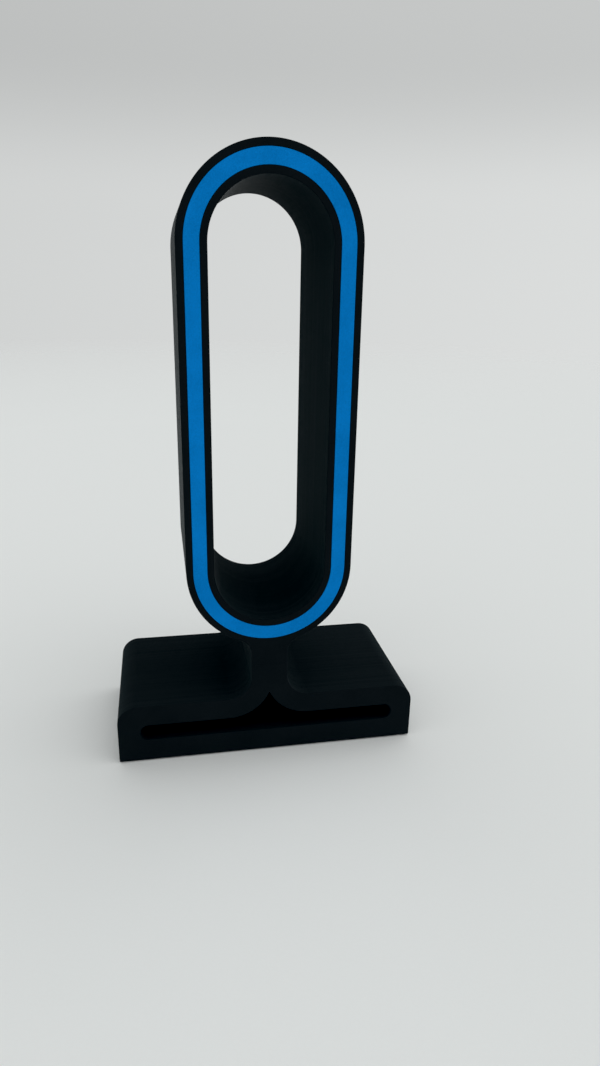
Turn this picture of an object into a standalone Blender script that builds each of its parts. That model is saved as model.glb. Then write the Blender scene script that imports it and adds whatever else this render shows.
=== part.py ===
"""Headphone stand, printed in two black pieces with a blue ring let into the front.

An upright obround loop carries the headband on its top curve. Its short neck stub stands on a wide,
low base, and a tenon under the stub drops into a mortise in the base's neck. Two screws driven from
below hold the joint: each bites in a threaded insert in the tenon. Four thin pads carry the base.

Metres, +Z up, +X to the right and -Y to the front. The origin is on the resting plane, under the
middle of the stand.
"""

import math

import bmesh
import bpy
from mathutils import Vector

# Overall sizes
DEPTH = 0.0665                 # front face to rear face, the same for loop, neck and base
GAP = 0.0003                   # clearance left between two pieces that touch
FRONT_Y = -DEPTH / 2

# Foot pads
PAD_RADIUS = 0.008
PAD_THICKNESS = 0.002
PAD_PROUD = 0.0005             # how far a pad stands below the base's underside
PAD_CHAMFER = 0.0004
PAD_X = 0.054
PAD_Y = 0.021

# Base
UNDERSIDE_Z = PAD_PROUD
BASE_WIDTH = 0.134
BASE_HEIGHT = 0.027
BASE_TOP_Z = UNDERSIDE_Z + BASE_HEIGHT
SHOULDER_RADIUS = 0.0085       # round upper corners of the base
FLOOR_THICKNESS = 0.0102       # below the slot
WEB_THICKNESS = 0.0096         # above the slot and at its ends
SLOT_FLOOR_Z = UNDERSIDE_Z + FLOOR_THICKNESS
SLOT_CEILING_Z = BASE_TOP_Z - WEB_THICKNESS

# Neck
NECK_WIDTH = 0.016
LOWER_FILLET = 0.010           # neck to base
UPPER_FILLET = 0.007           # neck to loop
SEAM_Z = 0.044                 # where the loop's stub stands on the base's neck

# Loop
LOOP_RADIUS = 0.035
LOOP_WALL = 0.0116
LOOP_STRAIGHT = 0.1273
LOOP_RISE = 0.0264             # free height between the base's top and the loop's lowest point
LOOP_LOW_Z = BASE_TOP_Z + LOOP_RISE + LOOP_RADIUS
LOOP_HIGH_Z = LOOP_LOW_Z + LOOP_STRAIGHT

# Ring let into the loop's front face
INLAY_BORDER = 0.00285         # black left outside the ring
INLAY_WIDTH = 0.0059
INLAY_THICKNESS = 0.002
GROOVE_OUTER_RADIUS = LOOP_RADIUS - INLAY_BORDER
GROOVE_INNER_RADIUS = GROOVE_OUTER_RADIUS - INLAY_WIDTH

# Tenon and mortise
TENON_WIDTH = 0.010
TENON_DEPTH = 0.054
TENON_LENGTH = 0.006
TENON_ROOT = 0.004             # how far the tenon's block reaches up into the stub

# Neck screws, M4 x 12, and their inserts
SCREW_Y = 0.017                # each screw's distance from the middle of the neck
SCREW_LENGTH = 0.012
SHANK_RADIUS = 0.002
HEAD_RADIUS = 0.0035
HEAD_HEIGHT = 0.004
HEAD_CHAMFER = 0.0003
TIP_CHAMFER = 0.0006
HEX_ACROSS_FLATS = 0.003
HEX_DEPTH = 0.002
SEAT_THICKNESS = 0.004         # neck material between the screw's head and the mortise
COUNTERBORE_RADIUS = 0.004
CLEARANCE_RADIUS = 0.0024      # shank's hole through the seat
ACCESS_RADIUS = 0.0042         # hole through the base's floor, as wide as the screw's head needs
INSERT_RADIUS = 0.003
INSERT_BORE_RADIUS = 0.0023
INSERT_LENGTH = 0.008
INSERT_GROOVE_WIDTH = 0.0014
INSERT_GROOVE_DEPTH = 0.0003
INSERT_TIP_ROOM = 0.0012       # blind hole's depth beyond the insert

TENON_FOOT_Z = SEAM_Z + GAP - TENON_LENGTH
MORTISE_FLOOR_Z = TENON_FOOT_Z - GAP
SCREW_SEAT_Z = MORTISE_FLOOR_Z - SEAT_THICKNESS

# Fineness of curved faces
ARC_STEP = math.radians(5)
TURNED_STEPS = 32
CUT_OVERRUN = 0.002            # how far a cutter runs past the wall that it cuts
SMOOTH_ANGLE = math.radians(30)
WELD_DISTANCE = 0.00001


# ---------------------------------------------------------------- scene and collections

def clear_scene():
    for old in list(bpy.data.objects):
        bpy.data.objects.remove(old, do_unlink=True)


def new_collection(name):
    collection = bpy.data.collections.new(name)
    bpy.context.scene.collection.children.link(collection)
    return collection


clear_scene()
PARTS = new_collection("headphone_stand")
CUTTERS = new_collection("headphone_stand_cutters")
ORIGIN = bpy.data.objects.new("headphone_stand_origin", None)
PARTS.objects.link(ORIGIN)


def place(piece, collection):
    collection.objects.link(piece)
    if collection is PARTS:
        piece.parent = ORIGIN
    else:
        piece.hide_render = True
        piece.display_type = "WIRE"
    return piece


def material(name, colour, roughness, metallic=0.0):
    made = bpy.data.materials.new(name)
    made.use_nodes = True
    shader = made.node_tree.nodes["Principled BSDF"]
    shader.inputs["Base Color"].default_value = (*colour, 1.0)
    shader.inputs["Roughness"].default_value = roughness
    shader.inputs["Metallic"].default_value = metallic
    made.diffuse_color = (*colour, 1.0)
    return made


# ---------------------------------------------------------------- flat outlines in X and Z

def arc(centre, radius, start_degrees, end_degrees):
    """Points along an arc, both ends included."""
    start = math.radians(start_degrees)
    turn = math.radians(end_degrees) - start
    steps = max(2, round(abs(turn) / ARC_STEP))
    angles = [start + turn * step / steps for step in range(steps + 1)]
    return [(centre[0] + radius * math.cos(a), centre[1] + radius * math.sin(a)) for a in angles]


def both_halves(right_half):
    """A closed outline from its right half, which runs upwards."""
    left_half = [(-x, z) for x, z in reversed(right_half) if x > WELD_DISTANCE]
    return right_half + left_half


def obround(radius):
    """Outline of the loop's shape at any distance from its middle line."""
    lower = arc((0, LOOP_LOW_Z), radius, -90, 0)
    upper = arc((0, LOOP_HIGH_Z), radius, 0, 90)
    return both_halves(lower + upper)


def base_outline():
    """Underside, side, round shoulder, flat top, concave fillet and neck up to the seam."""
    half_width = BASE_WIDTH / 2
    shoulder = (half_width - SHOULDER_RADIUS, BASE_TOP_Z - SHOULDER_RADIUS)
    right = [(half_width, UNDERSIDE_Z)]
    right += arc(shoulder, SHOULDER_RADIUS, 0, 90)
    right += arc(lower_fillet_centre(), LOWER_FILLET, 270, 180)
    right += [(NECK_WIDTH / 2, SEAM_Z)]
    return both_halves(right)


def lower_fillet_centre():
    return (NECK_WIDTH / 2 + LOWER_FILLET, BASE_TOP_Z + LOWER_FILLET)


def slot_outline():
    """Slot with round ends. Its ceiling follows the fillets above it, and so rises to a point."""
    end_radius = (SLOT_CEILING_Z - SLOT_FLOOR_Z) / 2
    end_x = BASE_WIDTH / 2 - WEB_THICKNESS - end_radius
    centre = lower_fillet_centre()
    ceiling_radius = LOWER_FILLET + WEB_THICKNESS
    point_degrees = 180 + math.degrees(math.acos(centre[0] / ceiling_radius))
    right = arc((end_x, SLOT_FLOOR_Z + end_radius), end_radius, -90, 90)
    right += arc(centre, ceiling_radius, 270, point_degrees)
    return both_halves(right)


def loop_outline():
    """Outside of the loop with the neck stub that hangs from it."""
    fillet_x = NECK_WIDTH / 2 + UPPER_FILLET
    fillet_drop = math.sqrt((LOOP_RADIUS + UPPER_FILLET) ** 2 - fillet_x ** 2)
    fillet_centre = (fillet_x, LOOP_LOW_Z - fillet_drop)
    meeting_degrees = math.degrees(math.atan2(fillet_drop, -fillet_x))
    right = [(NECK_WIDTH / 2, SEAM_Z + GAP)]
    right += arc(fillet_centre, UPPER_FILLET, 180, meeting_degrees)
    right += arc((0, LOOP_LOW_Z), LOOP_RADIUS, meeting_degrees - 180, 0)[1:]
    right += arc((0, LOOP_HIGH_Z), LOOP_RADIUS, 0, 90)
    return both_halves(right)


# ---------------------------------------------------------------- solids

def curve_to_mesh(curve_object):
    """Swap a curve object for a closed mesh object of the same name and place."""
    bpy.context.view_layer.update()
    evaluated = curve_object.evaluated_get(bpy.context.evaluated_depsgraph_get())
    mesh = bpy.data.meshes.new_from_object(evaluated)
    transform = curve_object.matrix_world.copy()
    name = curve_object.name
    bpy.data.objects.remove(curve_object, do_unlink=True)
    work = bmesh.new()
    work.from_mesh(mesh)
    bmesh.ops.remove_doubles(work, verts=work.verts, dist=WELD_DISTANCE)
    bmesh.ops.recalc_face_normals(work, faces=work.faces)
    work.to_mesh(mesh)
    work.free()
    piece = bpy.data.objects.new(name, mesh)
    piece.matrix_world = transform
    return piece


def slab(name, outlines, front_y, thickness, collection):
    """A plate that stands upright: closed outlines in X and Z, the later ones being holes."""
    curve = bpy.data.curves.new(name, "CURVE")
    curve.dimensions = "2D"
    curve.fill_mode = "BOTH"
    curve.extrude = thickness / 2
    for outline in outlines:
        spline = curve.splines.new("POLY")
        spline.points.add(len(outline) - 1)
        for point, (x, z) in zip(spline.points, outline):
            point.co = (x, z, 0, 1)
        spline.use_cyclic_u = True
    flat = bpy.data.objects.new(name, curve)
    flat.rotation_euler.x = math.radians(90)
    flat.location.y = front_y + thickness / 2
    CUTTERS.objects.link(flat)
    return place(curve_to_mesh(flat), collection)


def box(name, size, centre, collection):
    mesh = bpy.data.meshes.new(name)
    work = bmesh.new()
    bmesh.ops.create_cube(work, size=1.0)
    bmesh.ops.scale(work, vec=Vector(size), verts=work.verts)
    work.to_mesh(mesh)
    work.free()
    piece = bpy.data.objects.new(name, mesh)
    piece.location = centre
    return place(piece, collection)


def upright_bar(name, radius, low, high, x, y, collection, sides=TURNED_STEPS):
    """A cylinder along Z, or a prism where it has few sides."""
    mesh = bpy.data.meshes.new(name)
    work = bmesh.new()
    bmesh.ops.create_cone(work, cap_ends=True, segments=sides, radius1=radius, radius2=radius,
                          depth=high - low)
    work.to_mesh(mesh)
    work.free()
    piece = bpy.data.objects.new(name, mesh)
    piece.location = (x, y, (low + high) / 2)
    return place(piece, collection)


def turned(name, profile, location, closed=False):
    """A piece turned about Z. The profile holds (radius, height) points and runs down its outside."""
    mesh = bpy.data.meshes.new(name)
    edges = [(index, index + 1) for index in range(len(profile) - 1)]
    if closed:
        edges.append((len(profile) - 1, 0))
    mesh.from_pydata([(radius, 0, height) for radius, height in profile], edges, [])
    piece = bpy.data.objects.new(name, mesh)
    piece.location = location
    screw = piece.modifiers.new("turn", "SCREW")
    screw.axis = "Z"
    screw.steps = TURNED_STEPS
    screw.render_steps = TURNED_STEPS
    screw.use_merge_vertices = True
    screw.merge_threshold = WELD_DISTANCE
    screw.use_smooth_shade = True
    return place(piece, PARTS)


def combine(piece, other, operation):
    boolean = piece.modifiers.new(other.name, "BOOLEAN")
    boolean.operation = operation
    boolean.solver = "EXACT"
    boolean.object = other


def finish(piece, surface):
    piece.data.shade_smooth()
    piece.data.set_sharp_from_angle(angle=SMOOTH_ANGLE)
    piece.data.materials.append(surface)


# ---------------------------------------------------------------- the stand's pieces

def make_loop_frame(surface):
    """Loop with its neck stub and tenon, the groove for the ring and two blind insert holes."""
    loop = slab("loop_frame", [loop_outline(), obround(LOOP_RADIUS - LOOP_WALL)], FRONT_Y, DEPTH, PARTS)
    tenon_root_z = SEAM_Z + GAP + TENON_ROOT
    tenon = box("tenon_block", (TENON_WIDTH, TENON_DEPTH, tenon_root_z - TENON_FOOT_Z),
                (0, 0, (tenon_root_z + TENON_FOOT_Z) / 2), CUTTERS)
    combine(loop, tenon, "UNION")
    groove = slab("groove_cutter", [obround(GROOVE_OUTER_RADIUS), obround(GROOVE_INNER_RADIUS)],
                  FRONT_Y - CUT_OVERRUN, INLAY_THICKNESS + GAP + CUT_OVERRUN, CUTTERS)
    combine(loop, groove, "DIFFERENCE")
    hole_top_z = TENON_FOOT_Z + INSERT_LENGTH + INSERT_TIP_ROOM
    for side, y in screw_places():
        hole = upright_bar(f"insert_hole_cutter_{side}", INSERT_RADIUS + GAP,
                           TENON_FOOT_Z - CUT_OVERRUN, hole_top_z, 0, y, CUTTERS)
        combine(loop, hole, "DIFFERENCE")
    finish(loop, surface)


def make_base(surface):
    """Base with its slot, the mortise in its neck, the screws' holes and the pads' recesses."""
    base = slab("base", [base_outline(), slot_outline()], FRONT_Y, DEPTH, PARTS)
    mortise_height = SEAM_Z + CUT_OVERRUN - MORTISE_FLOOR_Z
    mortise = box("mortise_cutter",
                  (TENON_WIDTH + 2 * GAP, TENON_DEPTH + 2 * GAP, mortise_height),
                  (0, 0, MORTISE_FLOOR_Z + mortise_height / 2), CUTTERS)
    combine(base, mortise, "DIFFERENCE")
    for side, y in screw_places():
        steps = {
            "access": (ACCESS_RADIUS, UNDERSIDE_Z - CUT_OVERRUN, SLOT_FLOOR_Z + CUT_OVERRUN),
            "counterbore": (COUNTERBORE_RADIUS, SLOT_CEILING_Z - CUT_OVERRUN, SCREW_SEAT_Z),
            "clearance": (CLEARANCE_RADIUS, SCREW_SEAT_Z - CUT_OVERRUN, MORTISE_FLOOR_Z + CUT_OVERRUN),
        }
        for step, (radius, low, high) in steps.items():
            hole = upright_bar(f"{step}_cutter_{side}", radius, low, high, 0, y, CUTTERS)
            combine(base, hole, "DIFFERENCE")
    for corner, x, y in pad_places():
        recess = upright_bar(f"recess_cutter_{corner}", PAD_RADIUS + GAP, UNDERSIDE_Z - CUT_OVERRUN,
                             PAD_THICKNESS + GAP, x, y, CUTTERS)
        combine(base, recess, "DIFFERENCE")
    finish(base, surface)


def make_front_inlay(surface):
    """Flat ring, flush with the loop's front face."""
    outlines = [obround(GROOVE_OUTER_RADIUS - GAP), obround(GROOVE_INNER_RADIUS + GAP)]
    inlay = slab("front_inlay", outlines, FRONT_Y, INLAY_THICKNESS, PARTS)
    finish(inlay, surface)


def make_neck_screws(surface):
    """Socket head screws, head down, tip in the loop's inserts."""
    underhead_z = SCREW_SEAT_Z - GAP
    head_z = underhead_z - HEAD_HEIGHT
    tip_z = underhead_z + SCREW_LENGTH
    profile = [
        (0, tip_z),
        (SHANK_RADIUS - TIP_CHAMFER, tip_z),
        (SHANK_RADIUS, tip_z - TIP_CHAMFER),
        (SHANK_RADIUS, underhead_z),
        (HEAD_RADIUS, underhead_z),
        (HEAD_RADIUS, head_z + HEAD_CHAMFER),
        (HEAD_RADIUS - HEAD_CHAMFER, head_z),
        (0, head_z),
    ]
    hex_corner_radius = HEX_ACROSS_FLATS / 2 / math.cos(math.radians(30))
    for side, y in screw_places():
        screw = turned(f"neck_screw_{side}", profile, (0, y, 0))
        socket = upright_bar(f"hex_cutter_{side}", hex_corner_radius, head_z - CUT_OVERRUN,
                             head_z + HEX_DEPTH, 0, y, CUTTERS, sides=6)
        combine(screw, socket, "DIFFERENCE")
        finish(screw, surface)


def make_screw_inserts(surface):
    """Threaded brass sleeves, each with one groove round its outside."""
    groove_low = (INSERT_LENGTH - INSERT_GROOVE_WIDTH) / 2
    groove_high = groove_low + INSERT_GROOVE_WIDTH
    groove_radius = INSERT_RADIUS - INSERT_GROOVE_DEPTH
    profile = [
        (INSERT_BORE_RADIUS, INSERT_LENGTH),
        (INSERT_RADIUS, INSERT_LENGTH),
        (INSERT_RADIUS, groove_high),
        (groove_radius, groove_high),
        (groove_radius, groove_low),
        (INSERT_RADIUS, groove_low),
        (INSERT_RADIUS, 0),
        (INSERT_BORE_RADIUS, 0),
    ]
    for side, y in screw_places():
        insert = turned(f"screw_insert_{side}", profile, (0, y, TENON_FOOT_Z), closed=True)
        finish(insert, surface)


def make_foot_pads(surface):
    profile = [
        (0, PAD_THICKNESS),
        (PAD_RADIUS, PAD_THICKNESS),
        (PAD_RADIUS, PAD_CHAMFER),
        (PAD_RADIUS - PAD_CHAMFER, 0),
        (0, 0),
    ]
    for corner, x, y in pad_places():
        pad = turned(f"foot_pad_{corner}", profile, (x, y, 0))
        finish(pad, surface)


def screw_places():
    return [("front", -SCREW_Y), ("rear", SCREW_Y)]


def pad_places():
    return [(f"{depth}_{side}", x, y)
            for depth, y in (("front", -PAD_Y), ("rear", PAD_Y))
            for side, x in (("left", -PAD_X), ("right", PAD_X))]


black_print = material("black_print", (0.010, 0.011, 0.013), 0.42)
blue_print = material("blue_print", (0.003, 0.130, 0.400), 0.48)
dark_steel = material("dark_steel", (0.060, 0.060, 0.065), 0.35, metallic=1.0)
brass = material("brass", (0.700, 0.480, 0.180), 0.30, metallic=1.0)
rubber = material("rubber", (0.020, 0.020, 0.021), 0.85)

make_loop_frame(black_print)
make_base(black_print)
make_front_inlay(blue_print)
make_neck_screws(dark_steel)
make_screw_inserts(brass)
make_foot_pads(rubber)
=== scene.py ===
"""Looks of the headphone stand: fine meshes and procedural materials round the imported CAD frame.

Every printed piece is built again from the outline that its CAD solid has, with finer arcs and soft
rims. The screws get threads and ridged heads, the inserts knurled bands, the pads a ribbed sole.
Metres, +Z up, -Y to the front.
"""

import math

import bmesh
import bpy
from mathutils import Euler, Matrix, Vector


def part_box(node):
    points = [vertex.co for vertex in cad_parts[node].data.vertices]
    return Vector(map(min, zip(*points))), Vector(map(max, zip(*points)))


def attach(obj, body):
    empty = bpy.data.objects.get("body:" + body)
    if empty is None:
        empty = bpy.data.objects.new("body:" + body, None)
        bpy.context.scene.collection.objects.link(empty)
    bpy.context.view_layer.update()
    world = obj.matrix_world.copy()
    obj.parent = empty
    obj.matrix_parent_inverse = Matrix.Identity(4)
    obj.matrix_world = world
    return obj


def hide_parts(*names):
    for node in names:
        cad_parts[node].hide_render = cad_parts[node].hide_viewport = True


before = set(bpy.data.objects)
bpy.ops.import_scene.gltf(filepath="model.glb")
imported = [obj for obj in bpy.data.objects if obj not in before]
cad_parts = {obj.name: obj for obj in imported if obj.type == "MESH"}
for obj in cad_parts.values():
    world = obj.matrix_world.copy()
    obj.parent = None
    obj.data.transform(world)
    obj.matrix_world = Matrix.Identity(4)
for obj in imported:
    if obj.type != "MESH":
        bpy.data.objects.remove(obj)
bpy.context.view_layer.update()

MM = 0.001

# ---------------------------------------------------------------- sizes read from the frame

LOOP_MIN, LOOP_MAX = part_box("loop_frame")
BASE_MIN, BASE_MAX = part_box("base")
RING_MIN, RING_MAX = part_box("front_inlay")
FRONT_Y, BACK_Y = LOOP_MIN.y, LOOP_MAX.y
LOOP_RADIUS = LOOP_MAX.x
LOOP_HIGH_Z = LOOP_MAX.z - LOOP_RADIUS
LOOP_LOW_Z = RING_MIN.z + RING_MAX.x
LOOP_MIDDLE_Z = (LOOP_HIGH_Z + LOOP_LOW_Z) / 2
HALF_BASE = BASE_MAX.x
UNDERSIDE_Z = BASE_MIN.z
SEAM_Z = BASE_MAX.z
TENON_FOOT_Z = LOOP_MIN.z

# ---------------------------------------------------------------- sizes that the CAD model also states

CAD_GAP = 0.3 * MM              # the CAD's clearance between touching pieces
LOOP_WALL = 11.6 * MM
GROOVE_WIDTH = 5.9 * MM
BASE_HEIGHT = 27 * MM
BASE_TOP_Z = UNDERSIDE_Z + BASE_HEIGHT
SHOULDER_RADIUS = 8.5 * MM
FLOOR_THICKNESS = 10.2 * MM
WEB_THICKNESS = 9.6 * MM
SLOT_FLOOR_Z = UNDERSIDE_Z + FLOOR_THICKNESS
SLOT_CEILING_Z = BASE_TOP_Z - WEB_THICKNESS
NECK_WIDTH = 16 * MM
LOWER_FILLET = 10 * MM
UPPER_FILLET = 7 * MM
TENON_WIDTH = 10 * MM
TENON_DEPTH = 54 * MM
MORTISE_FLOOR_Z = TENON_FOOT_Z - CAD_GAP
SEAT_THICKNESS = 4 * MM         # neck between a screw's head and the mortise
SCREW_SEAT_Z = MORTISE_FLOOR_Z - SEAT_THICKNESS
COUNTERBORE_RADIUS = 4 * MM
CLEARANCE_RADIUS = 2.4 * MM     # shank's hole through the seat
ACCESS_RADIUS = 4.2 * MM        # hole through the base's floor
INSERT_TIP_ROOM = 1.2 * MM      # blind hole's depth beyond the insert
SHANK_RADIUS = 2 * MM
HEAD_HEIGHT = 4 * MM
HEX_FLATS = 3 * MM
HEX_DEPTH = 2 * MM
BORE_RADIUS = 2.3 * MM          # of an insert

# ---------------------------------------------------------------- fineness of the surface

ARC_STEP = math.radians(2)
STRAIGHT_PITCH = 4 * MM         # distance between points along a straight stretch
ON_AXIS = 0.001 * MM            # a point nearer than this to the middle plane lies on it
RIM = 0.35 * MM                 # rounding between a face and the walls round it
RIM_STEPS = 4
CORNER = 0.6 * MM               # rounding of the base's lower corners
FIT = 0.05 * MM                 # clearance that shows between printed pieces
GROOVE_CHAMFER = 0.12 * MM
SPARE = 3 * MM                  # length that is sawn off again at the seam
OVERRUN = 2 * MM                # how far a cutter runs past the wall that it cuts
HOLE_STEPS = 96                 # sides of a round hole
CLEARANCE_STEPS = 64            # sides of a shank's hole, which is narrower
SHARP_ANGLE = math.radians(40)  # edges that turn more than this stay crisp


# ---------------------------------------------------------------- flat outlines in X and Z

def arc(centre, radius, start_degrees, end_degrees):
    """Points along an arc, both ends included."""
    start = math.radians(start_degrees)
    turn = math.radians(end_degrees) - start
    steps = max(3, round(abs(turn) / ARC_STEP))
    angles = [start + turn * step / steps for step in range(steps + 1)]
    return [(centre[0] + radius * math.cos(a), centre[1] + radius * math.sin(a)) for a in angles]


def straight(start, end):
    """Points between two places, without either of them."""
    steps = max(1, round(math.dist(start, end) / STRAIGHT_PITCH))
    shares = [step / steps for step in range(1, steps)]
    return [tuple(a + (b - a) * share for a, b in zip(start, end)) for share in shares]


def both_halves(right_half):
    """A closed outline, anticlockwise, from its right half, which runs upwards."""
    joined = [right_half[0]]
    for point in right_half[1:]:
        joined += straight(joined[-1], point)
        joined.append(point)
    left_half = [(-x, z) for x, z in reversed(joined) if x > ON_AXIS]
    return joined + left_half


def inset(outline, distance):
    """The outline moved to its inside by a distance, or to its outside by a negative one."""
    moved = []
    for index, (x, z) in enumerate(outline):
        before = Vector(outline[index - 1])
        after = Vector(outline[(index + 1) % len(outline)])
        here = Vector((x, z))
        way_in = (here - before).normalized()
        way_out = (after - here).normalized()
        normal_in = Vector((-way_in.y, way_in.x))
        normal_out = Vector((-way_out.y, way_out.x))
        mitre = (normal_in + normal_out) / (1 + normal_in.dot(normal_out))
        moved.append(tuple(here + mitre * distance))
    return moved


def obround(radius):
    """The loop's outline at any distance from its middle line."""
    lower = arc((0, LOOP_LOW_Z), radius, -90, 0)
    upper = arc((0, LOOP_HIGH_Z), radius, 0, 90)
    return both_halves(lower + upper)


def lower_fillet_centre():
    """Centre of the right fillet between the base's top and the neck."""
    return (NECK_WIDTH / 2 + LOWER_FILLET, BASE_TOP_Z + LOWER_FILLET)


def base_outline():
    """Base and neck, with spare length above the seam."""
    shoulder = (HALF_BASE - SHOULDER_RADIUS, BASE_TOP_Z - SHOULDER_RADIUS)
    right = arc((HALF_BASE - CORNER, UNDERSIDE_Z + CORNER), CORNER, -90, 0)
    right += arc(shoulder, SHOULDER_RADIUS, 0, 90)
    right += arc(lower_fillet_centre(), LOWER_FILLET, 270, 180)
    right += [(NECK_WIDTH / 2, SEAM_Z + SPARE)]
    return both_halves(right)


def slot_outline():
    """Slot with round ends. Its ceiling follows the fillets above it, and so rises to a point."""
    end_radius = (SLOT_CEILING_Z - SLOT_FLOOR_Z) / 2
    end_x = HALF_BASE - WEB_THICKNESS - end_radius
    centre = lower_fillet_centre()
    ceiling_radius = LOWER_FILLET + WEB_THICKNESS
    point_degrees = 180 + math.degrees(math.acos(centre[0] / ceiling_radius))
    right = arc((end_x, SLOT_FLOOR_Z + end_radius), end_radius, -90, 90)
    right += arc(centre, ceiling_radius, 270, point_degrees)
    return both_halves(right)


def loop_outline():
    """Outside of the loop and its neck stub, with spare length below the seam."""
    fillet_x = NECK_WIDTH / 2 + UPPER_FILLET
    fillet_drop = math.sqrt((LOOP_RADIUS + UPPER_FILLET) ** 2 - fillet_x ** 2)
    meeting_degrees = math.degrees(math.atan2(fillet_drop, -fillet_x))
    right = [(NECK_WIDTH / 2, SEAM_Z - SPARE)]
    right += arc((fillet_x, LOOP_LOW_Z - fillet_drop), UPPER_FILLET, 180, meeting_degrees)
    right += arc((0, LOOP_LOW_Z), LOOP_RADIUS, meeting_degrees - 180, 0)[1:]
    right += arc((0, LOOP_HIGH_Z), LOOP_RADIUS, 0, 90)
    return both_halves(right)


# ---------------------------------------------------------------- mesh work

def add_ring(work, outline, y):
    """Points of an outline at one depth."""
    return [work.verts.new((x, y, z)) for x, z in outline]


def bridge(work, first, second):
    """A closed band of faces between two rings with the same number of points."""
    count = len(first)
    for index in range(count):
        following = (index + 1) % count
        work.faces.new((first[index], first[following], second[following], second[index]))


def bridge_all(work, rings):
    """Bands of faces from each ring to the next."""
    for first, second in zip(rings, rings[1:]):
        bridge(work, first, second)


def fill_between(work, rings):
    """A flat face with the first ring as its rim and the others as holes in it."""
    edges = []
    for ring in rings:
        for index, vertex in enumerate(ring):
            pair = (vertex, ring[(index + 1) % len(ring)])
            edges.append(work.edges.get(pair) or work.edges.new(pair))
    bmesh.ops.triangle_fill(work, use_beauty=True, edges=edges)


def walls(work, outline, front_y, back_y, rim, into_material):
    """Walls along an outline, rounded into both faces. Gives back the faces' two edge rings.

    into_material is 1 for a wall on the outside and -1 for one round a hole.
    """
    angles = [math.pi / 2 * step / RIM_STEPS for step in range(RIM_STEPS + 1)]
    rings = []
    for face_y, inwards, turns in ((front_y, 1, angles), (back_y, -1, reversed(angles))):
        for angle in turns:
            flat = inset(outline, into_material * rim * (1 - math.sin(angle)))
            rings.append(add_ring(work, flat, face_y + inwards * rim * (1 - math.cos(angle))))
    bridge_all(work, rings)
    return rings[0], rings[-1]


def saw_off(work, height, keep_above):
    """Cuts the piece level and closes the cut with a flat face."""
    cut = bmesh.ops.bisect_plane(
        work,
        geom=work.verts[:] + work.edges[:] + work.faces[:],
        plane_co=(0, 0, height),
        plane_no=(0, 0, 1),
        clear_inner=keep_above,
        clear_outer=not keep_above,
    )
    edges = [item for item in cut["geom_cut"] if isinstance(item, bmesh.types.BMEdge)]
    bmesh.ops.triangle_fill(work, use_beauty=True, edges=edges)


def new_piece(name, work):
    """A scene object from a bmesh, with its faces turned outwards."""
    bmesh.ops.recalc_face_normals(work, faces=work.faces)
    mesh = bpy.data.meshes.new(name)
    work.to_mesh(mesh)
    work.free()
    piece = bpy.data.objects.new(name, mesh)
    bpy.context.scene.collection.objects.link(piece)
    return piece


def lathe(name, rings, centre, steps, hollow=False):
    """A turned piece. Each ring is (height, radius), and a radius may be a function of the angle."""
    work = bmesh.new()
    made = []
    for height, radius in rings:
        ring = []
        for step in range(steps):
            angle = 2 * math.pi * step / steps
            reach = radius(angle) if callable(radius) else radius
            place = Vector((reach * math.cos(angle), reach * math.sin(angle), height))
            ring.append(work.verts.new(place + Vector(centre)))
        made.append(ring)
    bridge_all(work, made)
    if hollow:
        bridge(work, made[-1], made[0])
    else:
        for ring, (height, _) in ((made[0], rings[0]), (made[-1], rings[-1])):
            middle = work.verts.new(Vector((0, 0, height)) + Vector(centre))
            for index, vertex in enumerate(ring):
                work.faces.new((vertex, ring[(index + 1) % steps], middle))
    return new_piece(name, work)


def combine(piece, other, operation):
    """Joins another shape to a piece or takes it away from it, then removes the other."""
    boolean = piece.modifiers.new(other.name, "BOOLEAN")
    boolean.operation = operation
    boolean.solver = "EXACT"
    boolean.object = other
    bpy.context.view_layer.update()
    evaluated = piece.evaluated_get(bpy.context.evaluated_depsgraph_get())
    mesh = bpy.data.meshes.new_from_object(evaluated)
    piece.modifiers.clear()
    piece.data = mesh
    bpy.data.objects.remove(other, do_unlink=True)


def block(name, low, high):
    """A box between its lowest and its highest corner."""
    work = bmesh.new()
    bmesh.ops.create_cube(work, size=1.0)
    size = Vector(high) - Vector(low)
    middle = (Vector(high) + Vector(low)) / 2
    bmesh.ops.scale(work, vec=size, verts=work.verts)
    bmesh.ops.translate(work, vec=middle, verts=work.verts)
    return new_piece(name, work)


def round_cutter(name, radius, low, high, y, steps):
    """A cylinder along Z in the middle plane."""
    return lathe(name, [(low, radius), (high, radius)], (0, y, 0), steps)


def flared_cutter(name, radius, low, high, x, y, mouth_z):
    """A round cutter that widens downwards from just above a hole's mouth, which leaves a chamfer."""
    rings = [(low, radius + RIM + (mouth_z - low)), (mouth_z + RIM, radius), (high, radius)]
    return lathe(name, rings, (x, y, 0), HOLE_STEPS)


# ---------------------------------------------------------------- node trees of materials

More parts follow.
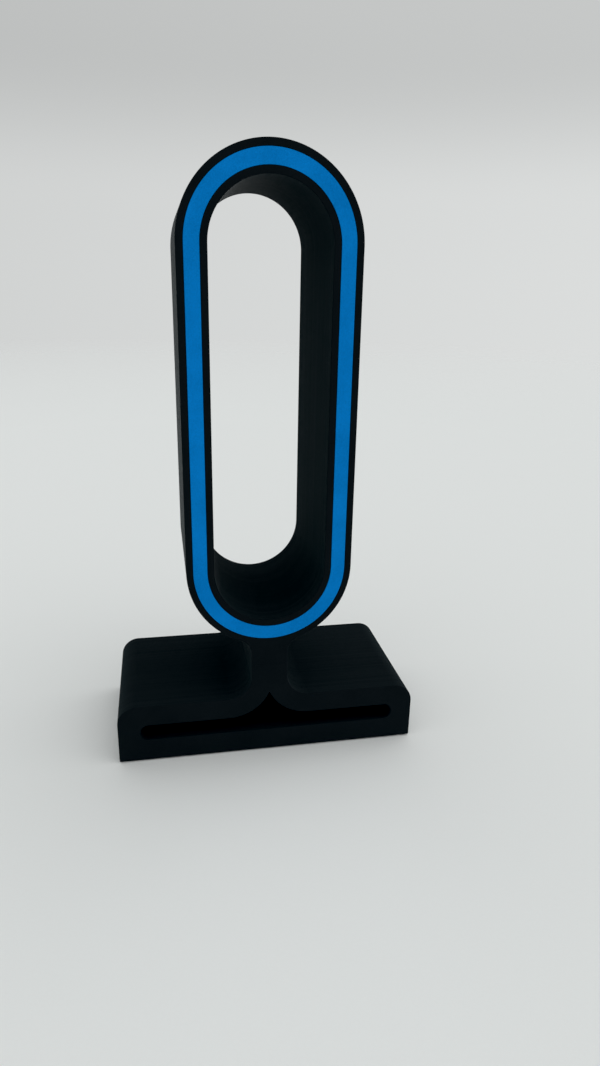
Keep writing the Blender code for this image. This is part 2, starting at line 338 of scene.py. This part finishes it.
class Nodes:
    """Short names for building a material's node tree."""

    def __init__(self, name):
        self.material = bpy.data.materials.new(name)
        self.material.use_nodes = True
        self.tree = self.material.node_tree
        self.shader = self.tree.nodes["Principled BSDF"]
        self.place = self.add("ShaderNodeTexCoord").outputs["Object"]

    def add(self, kind, **settings):
        node = self.tree.nodes.new(kind)
        for key, value in settings.items():
            setattr(node, key, value)
        return node

    def link(self, source, target):
        self.tree.links.new(source, target)

    def put(self, value, socket):
        """Feeds a socket with another socket's value or with a fixed one."""
        if isinstance(value, bpy.types.NodeSocket):
            self.link(value, socket)
        else:
            socket.default_value = value

    def math(self, operation, first, second=0.0, third=0.0):
        node = self.add("ShaderNodeMath", operation=operation)
        for value, socket in zip((first, second, third), node.inputs):
            self.put(value, socket)
        return node.outputs[0]

    def plus(self, base, *shares):
        """A value and other values on top, each of them times its share."""
        for value, share in shares:
            base = self.math("MULTIPLY_ADD", value, share, base)
        return base

    def along_axes(self, vector):
        """X, Y and Z of a vector."""
        node = self.add("ShaderNodeSeparateXYZ")
        self.link(vector, node.inputs[0])
        return node.outputs

    def scaled(self, scale):
        """The place in the object, stretched by a factor along each axis."""
        node = self.add("ShaderNodeVectorMath", operation="MULTIPLY")
        self.link(self.place, node.inputs[0])
        node.inputs[1].default_value = scale
        return node.outputs[0]

    def noise(self, scale, detail, rough):
        """Noise from 0 to 1. The scale is in repeats per metre along each axis."""
        node = self.add("ShaderNodeTexNoise")
        self.link(self.scaled(scale), node.inputs["Vector"])
        node.inputs["Scale"].default_value = 1.0
        node.inputs["Detail"].default_value = detail
        node.inputs["Roughness"].default_value = rough
        return node.outputs["Fac"]

    def spread(self, value, low, high, from_low, from_high):
        """A value taken from one range to another, and held inside it."""
        node = self.add("ShaderNodeMapRange")
        self.put(value, node.inputs["Value"])
        for socket, number in (("From Min", from_low), ("From Max", from_high),
                               ("To Min", low), ("To Max", high)):
            node.inputs[socket].default_value = number
        return node.outputs["Result"]

    def mix(self, factor, first, second):
        """A number between two numbers."""
        node = self.add("ShaderNodeMix", data_type="FLOAT")
        for value, socket in ((factor, "Factor"), (first, "A"), (second, "B")):
            self.put(value, node.inputs[socket])
        return node.outputs["Result"]

    def colour(self, factor, first, second):
        """A colour between two colours."""
        node = self.add("ShaderNodeMix", data_type="RGBA")
        self.put(factor, node.inputs["Factor"])
        node.inputs["A"].default_value = (*first, 1.0)
        node.inputs["B"].default_value = (*second, 1.0)
        return node.outputs["Result"]

    def bump(self, height, distance):
        """A relief whose height runs from 0 to 1 over a distance in metres."""
        node = self.add("ShaderNodeBump")
        node.inputs["Strength"].default_value = 1.0
        node.inputs["Distance"].default_value = distance
        self.link(height, node.inputs["Height"])
        return node.outputs["Normal"]

    def ridges(self, distance, pitch):
        """Rounded ridges from 0 to 1, side by side at a pitch along a distance."""
        share = self.math("FRACT", self.math("MULTIPLY", distance, 1 / pitch))
        from_middle = self.math("ABSOLUTE", self.math("MULTIPLY_ADD", share, 2.0, -1.0))
        return self.math("SUBTRACT", 1.0, self.math("POWER", from_middle, RIDGE_EXPONENT))

    def finish(self, colour, roughness, normal):
        """Links the three to the shader and gives back the material."""
        self.link(colour, self.shader.inputs["Base Color"])
        self.link(roughness, self.shader.inputs["Roughness"])
        self.link(normal, self.shader.inputs["Normal"])
        return self.material


def tinted(colour, factor):
    """A colour made darker or lighter."""
    return tuple(channel * factor for channel in colour)


# ---------------------------------------------------------------- printed plastic

LAYER = 0.2 * MM
LINE = 0.42 * MM
RIDGE_EXPONENT = 2.5            # 2 makes a layer's ridge round, and more makes it flatter
RIDGE_HEIGHT = 0.02 * MM        # relief of one layer
FACE_TURN = (0.6, 0.95)         # Y of a normal, where a wall ends and where a flat face begins

# Repeats per metre along X, Y and Z
STREAKS = (8, 1300, 8)          # single uneven layers
BANDS = (3, 520, 3)             # groups of layers
PLATE_GRAIN = (2900, 2900, 2900)
CLOUD = (55, 55, 55)
NOISE_MIDDLE = (0.3, 0.7)       # range that most of a noise lies in

# Heights, where 1 is the ridge of one layer
STREAK_RELIEF = 2.5
BAND_RELIEF = 2.0
PLATE_GRAIN_RELIEF = 2.2        # on the front faces, which lay on the print plate
PLATE_LINE_RELIEF = 0.25
OPEN_LINE_RELIEF = 1.6          # on the rear faces, which were printed last

FACE_ROUGHNESS = 0.52
WALL_ROUGHNESS = 0.90
PATTERN_ROUGHNESS = 0.16        # how far streaks, bands or grain move the roughness
CLOUD_ROUGHNESS = 0.06
EDGE_ON = (0.82, 1.0)           # facing, 0 for head-on and 1 for edge-on, over which gloss sets in
EDGE_ON_ROUGHNESS = 0.50        # share of the roughness that is left edge-on

FINE_SHARE = 0.6                # of the finer pattern in the shade, and the coarser has the rest
SHADES = (0.76, 1.26)           # darkest and lightest tint of the colour
SPECULAR_LEVEL = 0.035
SHEEN_WEIGHT = 0.022
SHEEN_ROUGHNESS = 0.5


def print_line_distance(nodes, concentric):
    """Distance across the printed lines on the front and rear faces."""
    x, _, z = nodes.along_axes(nodes.place)
    if not concentric:
        return nodes.math("MULTIPLY", nodes.math("ADD", x, z), math.sqrt(0.5))
    half_straight = (LOOP_HIGH_Z - LOOP_LOW_Z) / 2
    from_middle = nodes.math("ABSOLUTE", nodes.math("SUBTRACT", z, LOOP_MIDDLE_Z))
    beyond = nodes.math("MAXIMUM", nodes.math("SUBTRACT", from_middle, half_straight), 0.0)
    squares = nodes.math("ADD", nodes.math("MULTIPLY", x, x), nodes.math("MULTIPLY", beyond, beyond))
    return nodes.math("SQRT", squares)


def share_of_faces(nodes):
    """How far a place lies on a flat front or rear face, and on a rear face, both from 0 to 1."""
    _, to_rear, _ = nodes.along_axes(nodes.add("ShaderNodeNewGeometry").outputs["Normal"])
    either = nodes.math("ABSOLUTE", to_rear)
    return [nodes.spread(turned, 0.0, 1.0, *FACE_TURN) for turned in (either, to_rear)]


def printed_plastic(name, colour, sheen, concentric):
    """Matt filament: layers along Y on the walls, plate grain and printed lines on the faces."""
    nodes = Nodes(name)
    nodes.shader.inputs["Specular IOR Level"].default_value = SPECULAR_LEVEL
    nodes.shader.inputs["Sheen Weight"].default_value = SHEEN_WEIGHT
    nodes.shader.inputs["Sheen Roughness"].default_value = SHEEN_ROUGHNESS
    nodes.shader.inputs["Sheen Tint"].default_value = (*sheen, 1.0)
    on_face, on_rear = share_of_faces(nodes)

    _, depth, _ = nodes.along_axes(nodes.place)
    layers = nodes.ridges(depth, LAYER)
    lines = nodes.ridges(print_line_distance(nodes, concentric), LINE)
    streaks = nodes.noise(STREAKS, detail=2.0, rough=0.6)
    bands = nodes.spread(nodes.noise(BANDS, detail=3.0, rough=0.7), 0.0, 1.0, *NOISE_MIDDLE)
    grain = nodes.noise(PLATE_GRAIN, detail=3.0, rough=0.65)
    cloud = nodes.noise(CLOUD, detail=4.0, rough=0.55)

    wall_height = nodes.plus(layers, (streaks, STREAK_RELIEF), (bands, BAND_RELIEF))
    plate_face = nodes.plus(0.0, (grain, PLATE_GRAIN_RELIEF), (lines, PLATE_LINE_RELIEF))
    open_face = nodes.plus(grain, (lines, OPEN_LINE_RELIEF))
    face_height = nodes.mix(on_rear, plate_face, open_face)
    surface = nodes.bump(nodes.mix(on_face, wall_height, face_height), RIDGE_HEIGHT)

    wall_rough = nodes.plus(WALL_ROUGHNESS, (bands, -PATTERN_ROUGHNESS), (streaks, PATTERN_ROUGHNESS))
    face_rough = nodes.plus(FACE_ROUGHNESS, (grain, PATTERN_ROUGHNESS))
    head_on = nodes.plus(nodes.mix(on_face, wall_rough, face_rough), (cloud, CLOUD_ROUGHNESS))
    facing = nodes.add("ShaderNodeLayerWeight").outputs["Facing"]
    share_left = nodes.spread(facing, 1.0, EDGE_ON_ROUGHNESS, *EDGE_ON)
    roughness = nodes.math("MULTIPLY", head_on, share_left)

    wall_tone = nodes.plus(0.0, (bands, 1 - FINE_SHARE), (streaks, FINE_SHARE))
    face_tone = nodes.plus(0.0, (cloud, 1 - FINE_SHARE), (grain, FINE_SHARE))
    tone = nodes.mix(on_face, wall_tone, nodes.spread(face_tone, 0.0, 1.0, *NOISE_MIDDLE))
    shade = nodes.colour(tone, *(tinted(colour, factor) for factor in SHADES))
    return nodes.finish(shade, roughness, surface)


# ---------------------------------------------------------------- metal, rubber and the list of materials

TURNED_RINGS = (600, 600, 9000)  # repeats per metre along X, Y and Z, as in every pattern
METAL_RELIEF = 0.01 * MM
METAL_SHADES = (0.90, 1.08)
SPECK_ROUGHNESS = 0.22          # range of the roughness between specks

RUBBER = (0.0200, 0.0200, 0.0210)
RUBBER_GRAIN = (3500, 3500, 3500)
RUBBER_RELIEF = 0.02 * MM
RUBBER_ROUGHNESS = 0.72
GRAIN_ROUGHNESS = 0.15          # how far the grain adds to the roughness
RUBBER_DUST = (160, 160, 160)
DUST_RANGE = (0.40, 0.75)       # of the noise, from clean to dusty
RUBBER_SHADES = (0.8, 1.7)


def machined_metal(name, colour, roughness, specks, turned):
    """Turned metal: fine rings round Z, or all-over specks for a blackened surface.

    specks is how many of them there are to a metre.
    """
    nodes = Nodes(name)
    nodes.shader.inputs["Metallic"].default_value = 1.0
    all_over = (specks, specks, specks)
    relief = nodes.noise(TURNED_RINGS if turned else all_over, detail=2.0, rough=0.5)
    pattern = nodes.noise(all_over, detail=4.0, rough=0.7)
    rough = nodes.plus(roughness - SPECK_ROUGHNESS / 2, (pattern, SPECK_ROUGHNESS))
    shade = nodes.colour(pattern, *(tinted(colour, factor) for factor in METAL_SHADES))
    return nodes.finish(shade, rough, nodes.bump(relief, METAL_RELIEF))


def moulded_rubber(name):
    """Matt rubber with a fine grain and a little dust."""
    nodes = Nodes(name)
    grain = nodes.noise(RUBBER_GRAIN, detail=3.0, rough=0.6)
    dust = nodes.spread(nodes.noise(RUBBER_DUST, detail=5.0, rough=0.65), 0.0, 1.0, *DUST_RANGE)
    rough = nodes.plus(RUBBER_ROUGHNESS, (grain, GRAIN_ROUGHNESS))
    shade = nodes.colour(dust, *(tinted(RUBBER, factor) for factor in RUBBER_SHADES))
    return nodes.finish(shade, rough, nodes.bump(grain, RUBBER_RELIEF))


# Linear colours. Teal tints the black filament's sheen
BLACK = (0.0079, 0.0093, 0.0106)
BLUE = (0.0060, 0.1980, 0.5950)
TEAL = (0.4500, 0.9000, 1.0000)
STEEL = (0.0550, 0.0550, 0.0600)
BRASS = (0.7200, 0.4900, 0.1900)

MATERIALS = {
    "black_print_loop": printed_plastic("black_print_loop", BLACK, sheen=TEAL, concentric=True),
    "black_print_base": printed_plastic("black_print_base", BLACK, sheen=TEAL, concentric=False),
    "blue_print": printed_plastic("blue_print", BLUE, sheen=BLUE, concentric=True),
    "dark_steel": machined_metal("blackened_steel", STEEL, roughness=0.38, specks=2500, turned=False),
    "brass": machined_metal("turned_brass", BRASS, roughness=0.30, specks=1800, turned=True),
    "rubber": moulded_rubber("moulded_rubber"),
}


def settle(piece, node, material):
    """Gives a piece smooth shading and its material, hides the CAD part that it stands for, and gives it
    its body.
    """
    piece.data.set_sharp_from_angle(angle=SHARP_ANGLE)
    even_shading = piece.modifiers.new("even_shading", "WEIGHTED_NORMAL")
    even_shading.keep_sharp = True
    piece.data.materials.clear()
    piece.data.materials.append(MATERIALS[material])
    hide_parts(node)
    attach(piece, "root")


# ---------------------------------------------------------------- printed pieces

SCREW_SIDES = ("front", "rear")


def screw_depth(side):
    """Y of a screw's axis, from its CAD box."""
    low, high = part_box(f"neck_screw_{side}")
    return (low.y + high.y) / 2


def make_loop():
    """Loop with neck stub, soft rims, the ring's groove, the tenon and its insert holes."""
    groove_outer = RING_MAX.x + CAD_GAP
    groove_inner = groove_outer - GROOVE_WIDTH
    groove_floor_y = RING_MAX.y + CAD_GAP
    work = bmesh.new()
    outer_front, outer_back = walls(work, loop_outline(), FRONT_Y, BACK_Y, RIM, 1)
    hole = obround(LOOP_RADIUS - LOOP_WALL)
    hole_front, hole_back = walls(work, hole, FRONT_Y, BACK_Y, RIM, -1)
    groove = [
        add_ring(work, obround(groove_outer + GROOVE_CHAMFER), FRONT_Y),
        add_ring(work, obround(groove_outer), FRONT_Y + GROOVE_CHAMFER),
        add_ring(work, obround(groove_outer), groove_floor_y),
        add_ring(work, obround(groove_inner), groove_floor_y),
        add_ring(work, obround(groove_inner), FRONT_Y + GROOVE_CHAMFER),
        add_ring(work, obround(groove_inner - GROOVE_CHAMFER), FRONT_Y),
    ]
    bridge_all(work, groove)
    fill_between(work, [outer_front, groove[0]])
    fill_between(work, [groove[-1], hole_front])
    fill_between(work, [outer_back, hole_back])
    saw_off(work, SEAM_Z + FIT, keep_above=True)
    loop = new_piece("printed_loop_frame", work)

    half_width, half_depth = TENON_WIDTH / 2, TENON_DEPTH / 2
    tenon = block("tenon", (-half_width, -half_depth, TENON_FOOT_Z),
                  (half_width, half_depth, SEAM_Z + SPARE))
    combine(loop, tenon, "UNION")
    for side in SCREW_SIDES:
        _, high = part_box(f"screw_insert_{side}")
        hole = flared_cutter(f"insert_hole_{side}", high.x + CAD_GAP, TENON_FOOT_Z - OVERRUN,
                             high.z + INSERT_TIP_ROOM, 0, screw_depth(side), TENON_FOOT_Z)
        combine(loop, hole, "DIFFERENCE")
    settle(loop, "loop_frame", "black_print_loop")


def screw_hole_cutters(side):
    """The three holes on a screw's axis in the base, from below: access, counterbore and clearance."""
    y = screw_depth(side)
    return [
        flared_cutter(f"access_{side}", ACCESS_RADIUS, UNDERSIDE_Z - OVERRUN,
                      SLOT_FLOOR_Z + OVERRUN, 0, y, UNDERSIDE_Z),
        round_cutter(f"counterbore_{side}", COUNTERBORE_RADIUS, SLOT_CEILING_Z - OVERRUN,
                     SCREW_SEAT_Z, y, HOLE_STEPS),
        round_cutter(f"clearance_{side}", CLEARANCE_RADIUS, SCREW_SEAT_Z - OVERRUN,
                     MORTISE_FLOOR_Z + OVERRUN, y, CLEARANCE_STEPS),
    ]


def make_base():
    """Base with soft rims, slot, mortise, screw holes and pad recesses."""
    work = bmesh.new()
    outer_front, outer_back = walls(work, base_outline(), FRONT_Y, BACK_Y, RIM, 1)
    slot_front, slot_back = walls(work, slot_outline(), FRONT_Y, BACK_Y, RIM, -1)
    fill_between(work, [outer_front, slot_front])
    fill_between(work, [outer_back, slot_back])
    saw_off(work, SEAM_Z, keep_above=False)
    base = new_piece("printed_base", work)

    half_width, half_depth = TENON_WIDTH / 2 + CAD_GAP, TENON_DEPTH / 2 + CAD_GAP
    mortise = block("mortise", (-half_width, -half_depth, MORTISE_FLOOR_Z),
                    (half_width, half_depth, SEAM_Z + OVERRUN))
    combine(base, mortise, "DIFFERENCE")
    for side in SCREW_SIDES:
        for cutter in screw_hole_cutters(side):
            combine(base, cutter, "DIFFERENCE")
    for node in pad_nodes():
        low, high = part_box(node)
        middle = (low + high) / 2
        recess = flared_cutter(f"recess_{node}", high.x - middle.x + CAD_GAP, UNDERSIDE_Z - OVERRUN,
                               high.z + CAD_GAP, middle.x, middle.y, UNDERSIDE_Z)
        combine(base, recess, "DIFFERENCE")
    settle(base, "base", "black_print_base")


def make_ring():
    """Flat blue ring, a hair narrower than its groove."""
    outer = RING_MAX.x + CAD_GAP - FIT
    inner = RING_MAX.x + CAD_GAP - GROOVE_WIDTH + FIT
    work = bmesh.new()
    outer_front, outer_back = walls(work, obround(outer), FRONT_Y, RING_MAX.y, GROOVE_CHAMFER, 1)
    inner_front, inner_back = walls(work, obround(inner), FRONT_Y, RING_MAX.y, GROOVE_CHAMFER, -1)
    fill_between(work, [outer_front, inner_front])
    fill_between(work, [outer_back, inner_back])
    ring = new_piece("printed_front_inlay", work)
    settle(ring, "front_inlay", "blue_print")


# ---------------------------------------------------------------- screws and inserts

TURNED_STEPS = 144              # sides; a multiple of the ridges, the knurls and the hexagon's six

THREAD_PITCH = 0.7 * MM
THREAD_RINGS_PER_TURN = 8
THREAD_DEPTH = 0.4 * MM
THREAD_SLOPE = 2.4              # of the flanks; more than 2 leaves the root flat
THREAD_MARGIN = 0.6 * MM        # plain shank at both ends of the thread
CREST_CLEARANCE = 0.05 * MM     # crests stay this far inside the plain shank
TIP_CHAMFER = 0.45 * MM

HEAD_CHAMFER = 0.35 * MM
HEAD_RIDGES = 36
RIDGE_DEPTH = 0.09 * MM
FINE_CHAMFER = 0.1 * MM
SMALL_CHAMFER = 0.15 * MM
SOCKET_POINT_DEPTH = 0.5 * MM   # drilled point beyond the hexagon
SOCKET_POINT_RADIUS = 0.05 * MM

KNURLS = 24
KNURL_SLANT = 5200              # radians of the pattern for each metre along the insert
KNURL_DEPTH = 0.25 * MM
KNURL_RINGS = 14
INSERT_CHAMFER = 0.3 * MM
INSERT_GROOVE_WIDTH = 1.4 * MM
INSERT_GROOVE_DEPTH = 0.45 * MM
BORE_THREAD_DEPTH = 0.2 * MM


def hexagon(across_flats):
    """Radius of a hexagon as a function of the angle."""
    sector = math.pi / 3

    def radius(angle):
        return across_flats / 2 / math.cos(angle % sector - sector / 2)

    return radius


def ridged(radius, count, depth):
    """Radius of a round piece with straight ridges along it."""
    def ridge(angle):
        return radius - depth * (0.5 + 0.5 * math.cos(count * angle))

    return ridge


def threaded(radius, height, depth):
    """Radius of a screw thread at one height."""
    def thread(angle):
        phase = (height / THREAD_PITCH - angle / (2 * math.pi)) % 1.0
        return radius - depth * min(1.0, THREAD_SLOPE * abs(phase - 0.5))

    return thread


def make_screw(side):
    """Socket head screw, head down: hexagon, ridged head, then the thread up to the tip."""
    node = f"neck_screw_{side}"
    low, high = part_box(node)
    head_radius = high.x
    underhead = low.z + HEAD_HEIGHT
    head = ridged(head_radius, HEAD_RIDGES, RIDGE_DEPTH)
    rings = [
        (low.z + HEX_DEPTH + SOCKET_POINT_DEPTH, SOCKET_POINT_RADIUS),
        (low.z + HEX_DEPTH, hexagon(HEX_FLATS)),
        (low.z + SMALL_CHAMFER, hexagon(HEX_FLATS)),
        (low.z, hexagon(HEX_FLATS + 2 * SMALL_CHAMFER)),
        (low.z, head_radius - HEAD_CHAMFER - FINE_CHAMFER),
        (low.z + FINE_CHAMFER, head_radius - HEAD_CHAMFER),
        (low.z + HEAD_CHAMFER, head_radius - FINE_CHAMFER),
        (low.z + 2 * HEAD_CHAMFER, head),
        (underhead - HEAD_CHAMFER, head),
        (underhead - SMALL_CHAMFER, head_radius - RIDGE_DEPTH),
        (underhead, head_radius - FINE_CHAMFER - SMALL_CHAMFER),
        (underhead, SHANK_RADIUS + SMALL_CHAMFER),
        (underhead + SMALL_CHAMFER, SHANK_RADIUS),
    ]
    start, length = underhead + THREAD_MARGIN, high.z - underhead - 2 * THREAD_MARGIN
    count = round(length / THREAD_PITCH * THREAD_RINGS_PER_TURN)
    for index in range(count + 1):
        height = start + length * index / count
        fade = min(1.0, index / THREAD_RINGS_PER_TURN, (count - index) / THREAD_RINGS_PER_TURN)
        rings.append((height, threaded(SHANK_RADIUS - CREST_CLEARANCE, height, THREAD_DEPTH * fade)))
    tip_radius = SHANK_RADIUS - SMALL_CHAMFER
    rings += [(high.z - TIP_CHAMFER, tip_radius), (high.z, tip_radius - TIP_CHAMFER)]
    screw = lathe(f"threaded_{node}", rings, (0, screw_depth(side), 0), TURNED_STEPS)
    settle(screw, node, "dark_steel")


def knurled(radius, height):
    """Radius of a diamond knurl at one height."""
    def diamond(angle):
        one_way = math.sin(KNURLS * angle + KNURL_SLANT * height)
        other_way = math.sin(KNURLS * angle - KNURL_SLANT * height)
        return radius - KNURL_DEPTH * (0.5 - 0.25 * (one_way + other_way))

    return diamond


def knurled_band(radius, foot_z, start, end):
    """Rings of a knurled band between two heights above an insert's foot."""
    heights = [start + (end - start) * step / KNURL_RINGS for step in range(KNURL_RINGS + 1)]
    return [(foot_z + height, knurled(radius, height)) for height in heights]


def make_insert(side):
    """Brass insert: a bore with a thread, two knurled bands and a groove between them."""
    node = f"screw_insert_{side}"
    low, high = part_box(node)
    radius, length = high.x, high.z - low.z
    groove_low = (length - INSERT_GROOVE_WIDTH) / 2
    groove_high = groove_low + INSERT_GROOVE_WIDTH
    groove_radius = radius - INSERT_GROOVE_DEPTH
    rings = [(low.z, BORE_RADIUS + INSERT_CHAMFER), (low.z, radius - INSERT_CHAMFER)]
    rings += knurled_band(radius, low.z, INSERT_CHAMFER, groove_low - SMALL_CHAMFER)
    rings += [(low.z + groove_low, groove_radius), (low.z + groove_high, groove_radius)]
    rings += knurled_band(radius, low.z, groove_high + SMALL_CHAMFER, length - INSERT_CHAMFER)
    rings += [(high.z, radius - INSERT_CHAMFER), (high.z, BORE_RADIUS + INSERT_CHAMFER)]
    count = round(length / THREAD_PITCH) * THREAD_RINGS_PER_TURN
    for index in range(count + 1):
        height = high.z - INSERT_CHAMFER - (length - 2 * INSERT_CHAMFER) * index / count
        rings.append((height, threaded(BORE_RADIUS + BORE_THREAD_DEPTH, height, BORE_THREAD_DEPTH)))
    insert = lathe(f"knurled_{node}", rings, (0, screw_depth(side), 0), TURNED_STEPS, hollow=True)
    settle(insert, node, "brass")


# ---------------------------------------------------------------- foot pads

PAD_STEPS = 96                  # sides of a pad's round outline
PAD_EDGE = 0.4 * MM             # rounding of the sole's edge
PAD_EDGE_STEPS = 6
PAD_TOP_CHAMFER = 0.15 * MM
SOLE_BORDER = 0.6 * MM          # flat border outside the outermost rib
RIB_PITCH = 1.2 * MM
RIB_DEPTH = 0.12 * MM
RIB_SLOPE = 0.15 * MM           # width of each flank of the groove between two ribs
RIB_GROOVE_FLOOR = 0.2 * MM


def pad_nodes():
    """Names of the four pads' nodes."""
    return sorted(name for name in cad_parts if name.startswith("foot_pad"))


def make_pad(node):
    """Rubber pad with a rounded edge and shallow ribs in its sole."""
    low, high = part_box(node)
    middle = (low + high) / 2
    radius = high.x - middle.x
    rings = [(high.z, radius - PAD_TOP_CHAMFER), (high.z - PAD_TOP_CHAMFER, radius)]
    for step in range(PAD_EDGE_STEPS + 1):
        angle = math.pi / 2 * step / PAD_EDGE_STEPS
        rings.append((low.z + PAD_EDGE * (1 - math.sin(angle)), radius - PAD_EDGE * (1 - math.cos(angle))))
    reach = radius - PAD_EDGE - SOLE_BORDER
    while reach > RIB_PITCH:
        groove_floor_z = low.z + RIB_DEPTH
        rings += [
            (low.z, reach),
            (groove_floor_z, reach - RIB_SLOPE),
            (groove_floor_z, reach - RIB_SLOPE - RIB_GROOVE_FLOOR),
            (low.z, reach - 2 * RIB_SLOPE - RIB_GROOVE_FLOOR),
        ]
        reach -= RIB_PITCH
    pad = lathe(f"moulded_{node}", rings, (middle.x, middle.y, 0), PAD_STEPS)
    settle(pad, node, "rubber")


make_loop()
make_base()
make_ring()
for screw_side in SCREW_SIDES:
    make_screw(screw_side)
    make_insert(screw_side)
for pad_node in pad_nodes():
    make_pad(pad_node)


# ---------------------------------------------------------------- studio

FLOOR_HALF = 4.0
FLOOR_FADE = (0.8, 2.4)         # distances over which the floor gives way to the surroundings
PAPER_FIBRES = (900, 900, 900)
PAPER_RELIEF = 0.03 * MM
PAPER_ROUGHNESS = 0.8
FIBRE_ROUGHNESS = 0.1           # how far the fibres add to the roughness
PAPER_SHADES = ((0.800, 0.813, 0.809), (0.828, 0.841, 0.837))

DOME = (                        # height in the sky from 0 to 1, and brightness there
    (0.00, 0.685),
    (0.09, 0.680),
    (0.24, 0.550),
    (0.32, 0.560),
    (0.60, 0.865),
)
DOME_TINT = (0.985, 1.005, 0.998)
DOME_SLOPE = 0.14               # how much brighter the right is than the middle
DOME_BALANCE = 0.18             # share of that slope taken off all round

KEY_STRENGTH = 0.34
KEY_WIDTH = math.radians(60)    # angle that the light spans in the sky
KEY_DIRECTION = (-0.7, 0.05, -1.0)

CAMERA_LENS = 24.63
CAMERA_PLACE = (-0.0432, -0.2820, 0.0513)  # from the middle of the loop's front face
CAMERA_TURN = (70.934, -1.059, -10.799)    # degrees about X, Y and Z
CAMERA_NEAREST = 0.01

BLACK_POINT = (0.0046, 0.0040, 0.0036)     # light that the exposure takes as full black


def floor_material():
    """Pale paper that fades into the surroundings far from the object."""
    nodes = Nodes("pale_paper")
    fibres = nodes.noise(PAPER_FIBRES, detail=4.0, rough=0.7)
    rough = nodes.plus(PAPER_ROUGHNESS, (fibres, FIBRE_ROUGHNESS))
    shade = nodes.colour(fibres, *PAPER_SHADES)
    material = nodes.finish(shade, rough, nodes.bump(fibres, PAPER_RELIEF))
    distance = nodes.add("ShaderNodeVectorMath", operation="LENGTH")
    nodes.link(nodes.place, distance.inputs[0])
    solid = nodes.add("ShaderNodeMixShader")
    nodes.link(nodes.spread(distance.outputs["Value"], 0.0, 1.0, *FLOOR_FADE), solid.inputs[0])
    nodes.link(nodes.shader.outputs[0], solid.inputs[1])
    nodes.link(nodes.add("ShaderNodeBsdfTransparent").outputs[0], solid.inputs[2])
    output = nodes.tree.nodes["Material Output"]
    nodes.link(solid.outputs[0], output.inputs["Surface"])
    return material


def make_floor():
    """A flat floor, far wider than the object."""
    work = bmesh.new()
    bmesh.ops.create_grid(work, x_segments=2, y_segments=2, size=FLOOR_HALF)
    floor = new_piece("studio_floor", work)
    floor.data.materials.append(floor_material())


def make_surroundings():
    """Soft dome light: pale all round, dimmer in a band above the horizon, brightest overhead."""
    world = bpy.data.worlds.new("pale_studio")
    world.use_nodes = True
    tree = world.node_tree
    direction = tree.nodes.new("ShaderNodeTexCoord")
    separate = tree.nodes.new("ShaderNodeSeparateXYZ")
    tree.links.new(direction.outputs["Generated"], separate.inputs[0])
    ramp = tree.nodes.new("ShaderNodeValToRGB")
    ramp.color_ramp.interpolation = "EASE"
    stops = ramp.color_ramp.elements
    while len(stops) < len(DOME):
        stops.new(0.5)
    for stop, (height, brightness) in zip(stops, DOME):
        stop.position = height
        stop.color = (*(channel * brightness for channel in DOME_TINT), 1.0)
    tree.links.new(separate.outputs["Z"], ramp.inputs[0])
    slope = tree.nodes.new("ShaderNodeMath")
    slope.operation = "MULTIPLY_ADD"
    slope.inputs[1].default_value = DOME_SLOPE
    slope.inputs[2].default_value = 1.0 - DOME_SLOPE * DOME_BALANCE
    tree.links.new(separate.outputs["X"], slope.inputs[0])
    background = tree.nodes["Background"]
    tree.links.new(ramp.outputs["Color"], background.inputs["Color"])
    tree.links.new(slope.outputs[0], background.inputs["Strength"])
    bpy.context.scene.world = world


def make_key_light():
    """A very wide, weak light from the upper right."""
    light = bpy.data.lights.new("wide_key", "SUN")
    light.energy = KEY_STRENGTH
    light.angle = KEY_WIDTH
    lamp = bpy.data.objects.new("wide_key", light)
    lamp.rotation_euler = Vector(KEY_DIRECTION).to_track_quat("-Z", "Y").to_euler()
    bpy.context.scene.collection.objects.link(lamp)


def make_camera():
    """At the left of the loop's middle and above it, tilted down by 19 degrees."""
    data = bpy.data.cameras.new("studio_camera")
    data.lens = CAMERA_LENS
    data.clip_start = CAMERA_NEAREST
    camera = bpy.data.objects.new("studio_camera", data)
    camera.location = Vector((0, FRONT_Y, LOOP_MIDDLE_Z)) + Vector(CAMERA_PLACE)
    camera.rotation_euler = Euler([math.radians(turn) for turn in CAMERA_TURN])
    bpy.context.scene.collection.objects.link(camera)
    bpy.context.scene.camera = camera


def set_exposure():
    """Plain view with a firm black, like a phone's contrast."""
    view = bpy.context.scene.view_settings
    view.view_transform = "Standard"
    view.use_curve_mapping = True
    view.curve_mapping.black_level = BLACK_POINT
    view.curve_mapping.update()


make_floor()
make_surroundings()
make_key_light()
make_camera()
set_exposure()
